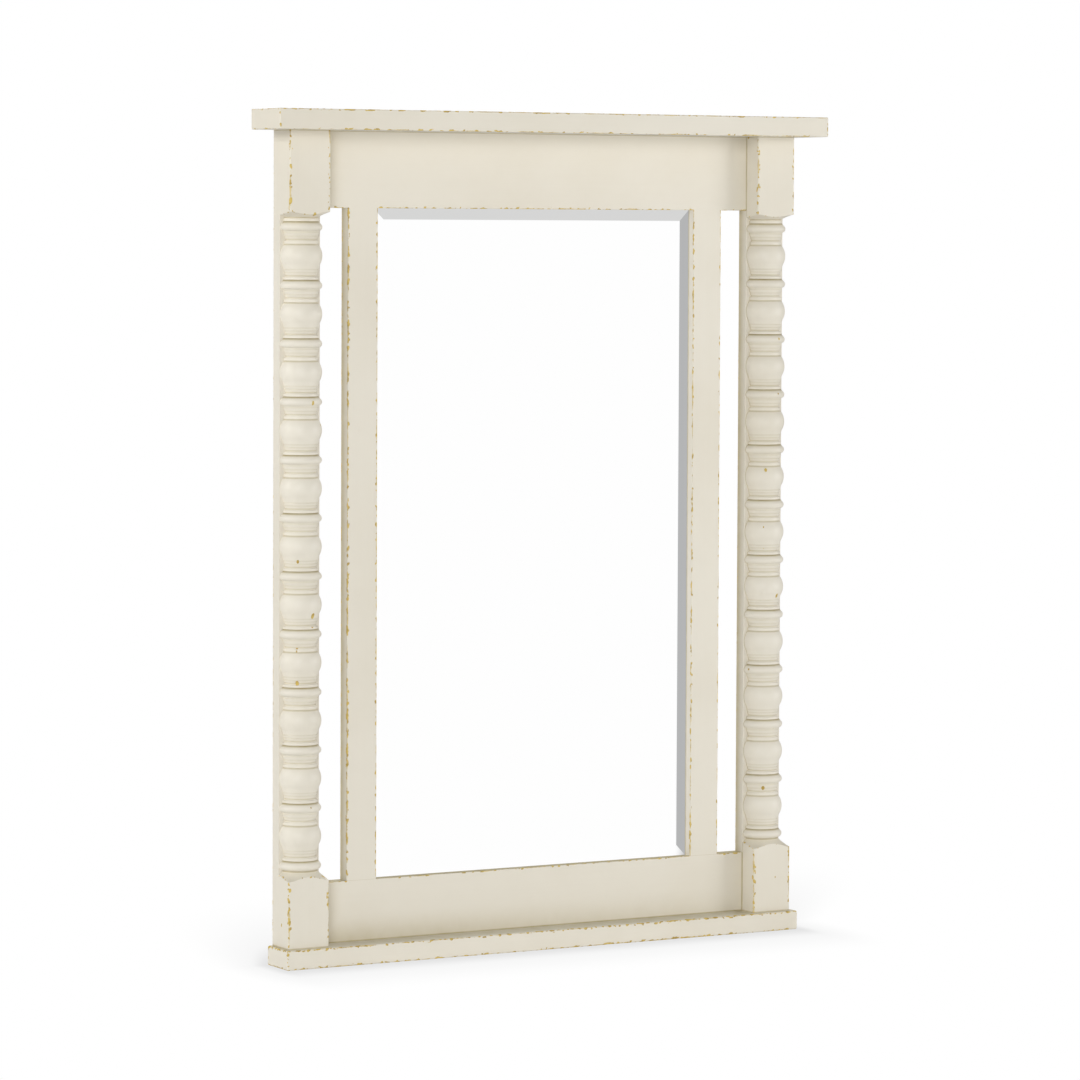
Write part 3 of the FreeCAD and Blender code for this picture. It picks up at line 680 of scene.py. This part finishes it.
def turn_hollow(turning, start, end, pitch, big, s):
    """From a bead's foot to the next bead's top: cove, low fillet, vase with its taper, high fillet."""
    flare = FLARE_LENGTH * pitch
    neck = start - COVE_LENGTH * pitch
    turning.grooved_taper(big * BEAD_FOOT, big * NECK, COVE_RINGS, start, neck, s)
    turning.mark(neck + SHADE_GLAZE_BAND, neck - SHADE_GLAZE_BAND, NECK_SHADE_GLAZE)
    turning.flare(big * LOW_FILLET, neck - flare)
    vase_top = neck - flare - LOW_FILLET_LENGTH * pitch
    vase_foot = end + flare + HIGH_FILLET_LENGTH * pitch
    vase = vase_top - vase_foot
    turning.groove(big * LOW_FILLET, vase_top, s)
    turning.mark(vase_top, vase_top - s.groove_width, LOW_FILLET_SHADE_GLAZE)
    turning.line(big * VASE_TOP, vase_top - s.groove_width)
    belly, belly_end = vase_top - vase * BELLY_PLACE, vase_top - 2 * vase * BELLY_PLACE
    turning.arc((big, belly), (big * VASE_TAPER, belly_end), BELLY_POINTS)
    lower = 1 - 2 * BELLY_PLACE
    rings = [(share - 1 + lower) / lower for share in VASE_RINGS]
    turning.grooved_taper(big * VASE_TAPER, big * VASE_FOOT, rings, belly_end, vase_foot, s)
    turning.mark(vase_foot + SHADE_GLAZE_BAND, vase_foot - SHADE_GLAZE_BAND, VASE_FOOT_SHADE_GLAZE)
    turning.flare(big * HIGH_FILLET, vase_foot - flare)
    turning.line(big * HIGH_FILLET, end)


def post_outline(s):
    """The outline of a whole post between its blocks: a shoulder, beads with hollows, and a shoulder."""
    stock = (POST_HIGH.x - POST_LOW.x) / 2
    big = stock - s.reveal
    corner = stock * math.sqrt(2) + 2 * MM
    high, low = POST_HIGH.z - s.top_block - s.shoulder, POST_LOW.z + s.bottom_block + s.shoulder
    pitch = (high - low - 2 * s.end_fillet) / (s.beads - 1 + BEAD_LENGTH)
    bead = BEAD_LENGTH * pitch
    block_foot, first_top = high + s.shoulder, high - s.end_fillet
    turning = Outline((corner, block_foot))
    neck = block_foot - s.top_shoulder
    middle = (stock * TOP_SHOULDER_MIDDLE[0], block_foot - s.top_shoulder * TOP_SHOULDER_MIDDLE[1])
    turning.arc(middle, (big * END_NECK, neck), SHOULDER_POINTS)
    turning.mark(neck, neck - SHADE_GLAZE_BAND, END_SHADE_GLAZE)
    turning.flare(big * HIGH_FILLET, first_top + HIGH_FILLET_LENGTH * pitch)
    turning.line(big * HIGH_FILLET, first_top)
    tops = [first_top - n * pitch for n in range(s.beads)]
    for top in tops:
        turn_bead(turning, top, bead, big)
        if top != tops[-1]:
            turn_hollow(turning, top - bead, top - pitch, pitch, big, s)
    turning.groove(big * END_FILLET, low + s.end_fillet / 2, s)
    turning.mark(low + SHADE_GLAZE_BAND, low - SHADE_GLAZE_BAND, END_SHADE_GLAZE)
    turning.mark(low, low - s.shoulder, SHOULDER_SHADE_GLAZE)
    middle = (stock * SHOULDER_MIDDLE[0], low - s.shoulder * SHOULDER_MIDDLE[1])
    turning.arc(middle, (corner, low - s.shoulder), SHOULDER_POINTS)
    return np.concatenate(turning.points), turning.marks


def hollows(height, marks):
    """How much glaze and painted shade lies at each height: a mark's share between its heights, fading out
    past them.
    """
    share = np.zeros(len(height))
    for high, low, glaze in marks:
        outside = np.maximum(height - high, low - height).clip(0)
        share = np.maximum(share, glaze * np.clip(1 - outside / SHADE_GLAZE_FADE, 0, 1))
    return share


def edge_distance(radius, square, angle, stock, turned):
    """How far each point lies from a post's worn edges: a block's corners, and the creases of its arches.

    The turned part between the shoulders has no such edge."""
    to_crease = np.abs(radius - square) * CREASE_SHARE + CREASE_START
    to_corner = np.abs(np.abs(angle - math.pi / 2) - math.pi / 4) * stock
    edge = np.where(radius > square, np.minimum(to_corner, to_crease), to_crease + TURNED_START)
    return np.where(turned, FAR, edge)


def post_rows(outline):
    """The turning's radius and the height of each row of a whole post. On a block the radius is largest."""
    corner, block_foot, block_top = outline[0, 0], outline[0, 1], outline[-1, 1]
    top = np.linspace(POST_HIGH.z, block_foot, TOP_ROWS)[:-1]
    bottom = np.linspace(block_top, POST_LOW.z, FOOT_ROWS)[1:]
    radius = np.concatenate([np.full(len(top), corner), outline[:, 0], np.full(len(bottom), corner)])
    return radius, np.concatenate([top, outline[:, 1], bottom])


def carry(piece, name, values):
    """Keeps a value for each vertex in the mesh, where its material reads it."""
    layer = piece.data.attributes.new(name, "FLOAT", "POINT")
    layer.data.foreach_set("value", np.ascontiguousarray(values, dtype=np.float32).ravel())


def post_surface(name, middle_x, s):
    """A half post as a surface of two parameters, height and angle round the front.

    The radius at an angle is the smaller of two: the turned outline's radius at that height, and the
    distance to the side of the square stock, rounded at its corners by a high power mean. The flat back
    joins each row's ends, and one face closes each end."""
    stock = (POST_HIGH.x - POST_LOW.x) / 2
    outline, marks = post_outline(s)
    radius, height = post_rows(outline)
    plain, close = np.radians(np.arange(0.0, 180.1, COLUMN_STEP)), np.radians(CORNER_COLUMNS)
    angle = np.unique(np.concatenate([plain, math.pi / 4 + close, 3 * math.pi / 4 + close]).round(6))
    cos, sin = np.cos(angle), np.sin(angle)
    square = stock / (np.abs(cos) ** CORNER_POWER + sin ** CORNER_POWER) ** (1 / CORNER_POWER)
    turning = radius[:, None]
    r = np.minimum(turning, square)
    z = np.broadcast_to(height[:, None], r.shape)
    vertices = np.stack([middle_x + r * cos, FRONT_PLANE - r * sin, z], axis=-1).reshape(-1, 3)
    piece = new_piece(name, vertices, closed_grid(*r.shape), 30.0)
    turned = (height < outline[0, 1] - s.top_shoulder) & (height > outline[-1, 1] + s.shoulder)
    # Glaze and painted shade in the creases and hollows of the turning, none on the blocks
    carry(piece, "groove", np.where(turning > square, 0.0, hollows(height, marks)[:, None]))
    carry(piece, "edge", edge_distance(turning, square, angle, stock, turned[:, None]))
    return piece


class TurnPosts(bpy.types.Operator):
    """Turn the two half posts again as fine surfaces"""

    bl_idname = "mirror.turn_posts"
    bl_label = "Turn posts"

    def execute(self, context):
        """Each post replaces the solid of its side."""
        s = context.scene.mirror_post
        material = paint("post", "post", 2)
        for side, sign in (("left", -1), ("right", 1)):
            piece = post_surface(side + "_half_post", sign * POST_MIDDLE, s)
            piece.data.materials.append(material)
            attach(piece, "frame")
            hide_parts(side + "_turned_post")
        return {"FINISHED"}


class SilverPlate(bpy.types.Operator):
    """Silver the bevelled plate"""

    bl_idname = "mirror.silver_plate"
    bl_label = "Silver plate"

    def execute(self, context):
        """The plate is a clean metal reflector with a faint drift of roughness."""
        material, graph = new_material("silvered_plate")
        haze = noise(graph, object_point(graph), 9.0, 2.0).step(0.45, 0.9)
        silver = context.scene.mirror_plate.silver[:]
        finish_material(graph, {"Base Color": silver, "Metallic": 1.0, "Roughness": haze * 0.012})
        give("mirror_glass", material)
        return {"FINISHED"}


def toned(colour, factor):
    """A colour made darker or lighter."""
    return tuple(min(1.0, factor * channel) for channel in colour[:3]) + (1.0,)


def metal(name, colour, grain_scale, roughness):
    """Plated steel: a metal whose roughness drifts in fine grain."""
    material, graph = new_material(name)
    point = object_point(graph)
    grain = noise(graph, point, grain_scale, 4.0)
    tarnish = noise(graph, point, 140.0, 2.0)
    tone = mixed(graph, tarnish.step(0.45, 0.75) * 0.5, colour[:], toned(colour, 0.72))
    bump = graph.node("ShaderNodeBump", None, {"Strength": 0.25, "Distance": 0.00005, "Height": grain})
    rough = roughness + (grain - 0.5) * 0.2
    finish_material(graph, {"Base Color": tone, "Metallic": 1.0, "Roughness": rough, "Normal": bump})
    return material


def soft_board(name, colour, fibre_scale, roughness):
    """Pressed or paper board: two tones of fibre, flecked, with a matt face."""
    material, graph = new_material(name)
    point = object_point(graph)
    fibre = noise(graph, point, fibre_scale, 5.0, 0.7)
    drift = noise(graph, point, 4.0, 2.0)
    tone = mixed(graph, fibre.step(0.35, 0.68), toned(colour, 0.62), toned(colour, 1.25))
    tone = mixed(graph, drift * 0.7, tone, colour[:])
    bump = graph.node("ShaderNodeBump", None, {"Strength": 0.5, "Distance": 0.00012, "Height": fibre})
    rough = roughness + (drift - 0.5) * 0.15
    finish_material(graph, {"Base Color": tone, "Roughness": rough, "Normal": bump})
    return material


class DressBack(bpy.types.Operator):
    """Finish the panel, the pad, the setting blocks, the bumpers, the dowels and the hangers"""

    bl_idname = "mirror.dress_back"
    bl_label = "Dress back"

    def execute(self, context):
        """One material for each stuff."""
        s = context.scene.mirror_hardware
        give("back_panel", soft_board("hardboard", s.hardboard, 900.0, 0.62))
        give("backing_pad", soft_board("kraft_board", s.kraft, 500.0, 0.8))
        give("cap_dowels", soft_board("bare_beech", linear(206, 170, 120), 300.0, 0.6))
        rubber = soft_board("moulded_rubber", s.rubber, 700.0, 0.7)
        give("wall_bumpers", rubber)
        give("glass_setting_blocks", rubber)
        nickel = metal("nickel_plate", s.nickel, 1200.0, 0.28)
        for side in ("left_", "right_"):
            give(side + "strap_hanger", nickel)
            give(side + "hanger_ring", nickel)
        return {"FINISHED"}


# A screw's head: dome's fall at its rim, a cross's arm, and heights of sunk and pan heads, in shares of it
DOME_FALL, ARM_SHARE = 0.45, 0.16
SUNK_HEIGHT, PAN_HEIGHT = 1.5, 0.58
SCREW_GAP = 8 * MM


def clusters(values, gap):
    """Numbers each value by the bunch it lies in, where bunches are more than a gap apart."""
    order = np.argsort(values)
    steps = np.concatenate([[False], np.diff(values[order]) > gap])
    numbers = np.empty(len(values), dtype=int)
    numbers[order] = np.cumsum(steps)
    return numbers


def screw_boxes(node_name, axis):
    """The box of each screw in a node. Two places across the screws' axis tell them apart."""
    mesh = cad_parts[node_name].data
    points = np.empty(len(mesh.vertices) * 3, dtype=np.float32)
    mesh.vertices.foreach_get("co", points)
    points = points.reshape(-1, 3).astype(float)
    first, second = (clusters(points[:, n], SCREW_GAP) for n in range(3) if n != axis)
    pairs, member = np.unique(np.stack([first, second], axis=1), axis=0, return_inverse=True)
    member = member.ravel()
    return [(points[member == n].min(axis=0), points[member == n].max(axis=0)) for n in range(len(pairs))]


def screw_rings(head, height, shank, length, sunk, s):
    """One screw that points down from its head's underside, or its flat top, as rings of points.

    The head's top is flat, or a dome that falls with the cube of the radius. A cross is cut in it: under the
    top by the recess depth, less towards the ends of its arms, wherever the distance to one of two crossed
    lines is under half an arm's width. Below the head the rings follow the cone, the shank and the tip."""
    turns = np.linspace(0, 2 * math.pi, 40, endpoint=False)
    shares = np.concatenate([np.linspace(0.02, 0.66, 13), [0.74, 0.84, 0.93, 1.0]])
    radius, angle = np.meshgrid(shares * head, turns, indexing="ij")
    across = np.minimum(np.abs(radius * np.cos(angle)), np.abs(radius * np.sin(angle)))
    arm = ARM_SHARE * head
    cut = np.clip((1.25 * arm - across) / (0.5 * arm), 0, 1) * np.clip(1.25 - 2 * radius / head, 0, 1) ** 0.5
    crown = 0.0 if sunk else height
    top = crown - DOME_FALL * crown * (radius / head) ** 3 - s.recess_depth * cut
    rim = [] if sunk else [(head, 0.0)]
    lower = rim + [(shank, -height if sunk else 0.0), (shank, 2 * shank - length), (0.05 * shank, -length)]
    rings = np.concatenate([radius] + [np.full((1, len(turns)), r) for r, _ in lower])
    heights = np.concatenate([top] + [np.full((1, len(turns)), h) for _, h in lower])
    angles = np.broadcast_to(turns, rings.shape)
    return np.stack([rings * np.cos(angles), rings * np.sin(angles), heights], axis=-1)


def screw_set(name, node_name, axis, outer, sunk, shank, s):
    """All screws of a node as one piece, each fitted to its solid's box, heads towards the outer side."""
    across = [n for n in range(3) if n != axis]
    vertices, faces = [], []
    for low, high in screw_boxes(node_name, axis):
        head = (high - low)[across].max() / 2
        whole = (high - low)[axis]
        height = (head - shank) * SUNK_HEIGHT if sunk else PAN_HEIGHT * head
        rings = screw_rings(head, height, shank, whole if sunk else whole - height, sunk, s)
        middle = (low + high) / 2
        seat = (high if outer > 0 else low)[axis] - outer * (0.0 if sunk else height)
        placed = np.empty_like(rings)
        placed[..., axis] = seat + outer * rings[..., 2]
        placed[..., across[0]] = middle[across[0]] + rings[..., 0]
        placed[..., across[1]] = middle[across[1]] + rings[..., 1]
        vertices.extend(placed.reshape(-1, 3))
        start = len(vertices) - placed[..., 0].size
        # Round y the other two axes follow each other the other way, and so do the faces
        turn = -1 if (outer > 0) == (axis != 1) else 1
        faces += [[start + n for n in face[::turn]] for face in closed_grid(*placed.shape[:2])]
    return new_piece(name, vertices, faces, 35.0)


class DriveScrews(bpy.types.Operator):
    """Set cross-headed screws where the solids have them"""

    bl_idname = "mirror.drive_screws"
    bl_label = "Drive screws"

    def execute(self, context):
        """Each set replaces one node: pan heads on the back, sunk heads in the stiles and the ledge."""
        s = context.scene.mirror_hardware
        zinc = metal("zinc_plate", s.zinc, 1500.0, 0.34)
        sets = (("panel_screw_set", "back_panel_screws", 1, 1, False, 1.6 * MM),
                ("hanger_screw_set", "hanger_screws", 1, 1, False, 1.9 * MM),
                ("bumper_screw_set", "bumper_screws", 1, 1, False, 1.6 * MM),
                ("post_screw_set", "post_screws", 1, 1, True, 2.1 * MM),
                ("base_screw_set", "base_screws", 2, -1, True, 2.1 * MM))
        for name, node_name, axis, outer, sunk, shank in sets:
            piece = screw_set(name, node_name, axis, outer, sunk, shank, s)
            piece.data.materials.append(zinc)
            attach(piece, "frame")
            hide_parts(node_name)
        return {"FINISHED"}


def lamp(name, place, target, size, power):
    """A square area lamp that looks at a point."""
    data = bpy.data.lights.new(name, "AREA")
    data.energy = power
    data.size = size
    made = add_object(name, data)
    made.location = place
    made.rotation_euler = (Vector(target) - Vector(place)).to_track_quat("-Z", "Y").to_euler()


def sideways(across, y):
    """0 straight ahead of the mirror and 1 to its sides, by the tangent of the angle."""
    return (across / (0.0 - y).most(0.001)).step(*SIDE_TANGENTS)


def studio_world(s):
    """The room's light. The camera sees white.

    For the object the light falls off from the front to the back and from the horizon to the zenith. In
    glossy reflections the room is white straight ahead and below, greyer to the sides and grey above, so
    that a plate's bevels show."""
    world = bpy.data.worlds.new("studio")
    bpy.context.scene.world = world
    graph = empty_graph(world)
    x, y, z = split(graph, graph.node("ShaderNodeTexCoord", output="Generated"))
    back = mixed(graph, y.step(*BACK_SPAN), WHITE, grey(s.rear))
    room = mixed(graph, z.step(0.0, 1.0), back, (s.zenith, s.zenith, s.zenith * ZENITH_BLUE, 1.0))
    ahead = mixed(graph, sideways(abs(x), y), WHITE, SIDE_GREY)
    reflected = mixed(graph, z.step(*UPPER_SPAN), ahead, UPPER_GREY)
    glossy = light_path(graph, "Is Glossy Ray")
    seen = light_path(graph, "Is Camera Ray").most(light_path(graph, "Is Transmission Ray"))
    colour = mixed(graph, seen, mixed(graph, glossy, room, reflected), WHITE)
    strength = glossy.most(seen) * (1 - s.sky) + s.sky
    background = graph.node("ShaderNodeBackground", None, {"Color": colour, "Strength": strength})
    graph.node("ShaderNodeOutputWorld", None, {"Surface": background})


def floor_material(s):
    """Pale floor. To the object it is diffuse with a faint glow, and reflections see it as the room goes on.

    The camera sees it white, with a soft shade round the mirror's foot. The shade falls off with the
    distance to the foot's rectangle, in two spans. It reaches less far aside, and further behind the
    mirror, where it leans to the right and spreads."""
    material, graph = new_material("pale_floor")
    point = object_point(graph)
    x, y, _ = split(graph, point)
    seen, glossy = light_path(graph, "Is Camera Ray"), light_path(graph, "Is Glossy Ray")
    behind = (y - BASE_HIGH.y).most(0.0)
    spread = behind * FOOT_SPREAD + 1
    aside = (abs(x - behind * FOOT_LEAN) - BASE_HIGH.x).most(0.0) * FOOT_ASIDE / spread
    ahead = (BASE_LOW.y - y).most(behind * (1 / FOOT_BACK))
    away = (aside * aside + ahead * ahead).math("SQRT")
    shade = sum(((1 - away.step(0.0, reach)) * depth for reach, depth in SHADOW), 0.0)
    drift = noise(graph, point, 0.7, 2.0)
    tone = mixed(graph, drift * 0.5, s.floor[:], grey(0.9))
    diffuse = graph.node("ShaderNodeBsdfDiffuse", None, {"Color": mixed(graph, seen, tone, grey(0.0))})
    glow_colour = mixed(graph, glossy * sideways(abs(x) - OPENING_HALF, y), WHITE, SIDE_GREY)
    plain = (1 - seen.most(glossy)) * s.floor_glow
    strength = seen * (1 - shade) + glossy + plain
    glow = graph.node("ShaderNodeEmission", None, {"Color": glow_colour, "Strength": strength})
    matt = graph.node("ShaderNodeMixShader", None, {0: glossy, 1: diffuse})
    surface = graph.node("ShaderNodeAddShader", None, {0: matt, 1: glow})
    graph.node("ShaderNodeOutputMaterial", None, {"Surface": surface})
    return material


def lay_floor(s):
    """A square floor whose middle is under the mirror."""
    half = s.floor_size / 2
    corners = [(-half, -half, 0), (half, -half, 0), (half, half, 0), (-half, half, 0)]
    floor = new_piece("floor", corners, [(0, 1, 2, 3)], 30.0)
    floor.data.materials.append(floor_material(s))


def stand_camera(s):
    """The camera, rolled, tilted and turned to the right, in its place."""
    data = bpy.data.cameras.new("camera")
    data.lens = s.lens
    data.sensor_width = 36
    data.shift_y = s.rise
    camera = add_object("camera", data)
    tilt = Matrix.Rotation(math.pi / 2 + s.pitch, 4, "X") @ Matrix.Rotation(s.roll, 4, "Z")
    camera.matrix_world = Matrix.Translation(s.camera_place) @ Matrix.Rotation(-s.yaw, 4, "Z") @ tilt
    bpy.context.scene.camera = camera


class SetStage(bpy.types.Operator):
    """Set the floor, the lamps, the room and the camera"""

    bl_idname = "mirror.set_stage"
    bl_label = "Set stage"

    def execute(self, context):
        """A pale floor under the mirror, four soft lamps round it and an even room."""
        s = context.scene.mirror_stage
        lay_floor(s)
        middle = (0.0, 0.0, CAP_HIGH.z / 2)
        lamp("front_lamp", s.key_place[:], middle, s.far_size, s.key_power)
        lamp("fill_lamp", s.fill_place[:], middle, s.lamp_size, s.fill_power)
        lamp("side_lamp", s.side_place[:], middle, s.far_size, s.side_power)
        lamp("rear_lamp", s.rear_place[:], middle, s.lamp_size, s.rear_power)
        studio_world(s)
        stand_camera(s)
        context.scene.view_settings.view_transform = "Standard"
        return {"FINISHED"}


OPERATORS = (PaintBoards, TurnPosts, SilverPlate, DressBack, DriveScrews, SetStage)


class MirrorPanel(bpy.types.Panel):
    """The mirror's steps and settings"""

    bl_idname = "MIRROR_PT_steps"
    bl_label = "Painted wooden mirror"
    bl_space_type = "VIEW_3D"
    bl_region_type = "UI"
    bl_category = "Mirror"

    def draw(self, context):
        """Lists each operator, then each group of settings."""
        for step in OPERATORS:
            self.layout.operator(step.bl_idname)
        for name in SETTINGS:
            box = self.layout.box()
            group = getattr(context.scene, name)
            for key in group.__annotations__:
                box.prop(group, key)


SETTINGS = {
    "mirror_paint": PaintSettings,
    "mirror_post": PostSettings,
    "mirror_plate": PlateSettings,
    "mirror_hardware": HardwareSettings,
    "mirror_stage": StageSettings,
}
CLASSES = (*SETTINGS.values(), *OPERATORS, MirrorPanel)


def register():
    """Registers settings, operators and panel."""
    for each in CLASSES:
        bpy.utils.register_class(each)
    for name, group in SETTINGS.items():
        setattr(bpy.types.Scene, name, PointerProperty(type=group))


def unregister():
    """Takes all of them away again."""
    for name in SETTINGS:
        delattr(bpy.types.Scene, name)
    for each in reversed(CLASSES):
        bpy.utils.unregister_class(each)


def main():
    """Runs every step in order."""
    register()
    bpy.ops.mirror.paint_boards()
    bpy.ops.mirror.turn_posts()
    bpy.ops.mirror.silver_plate()
    bpy.ops.mirror.dress_back()
    bpy.ops.mirror.drive_screws()
    bpy.ops.mirror.set_stage()


if __name__ == "__main__":
    main()
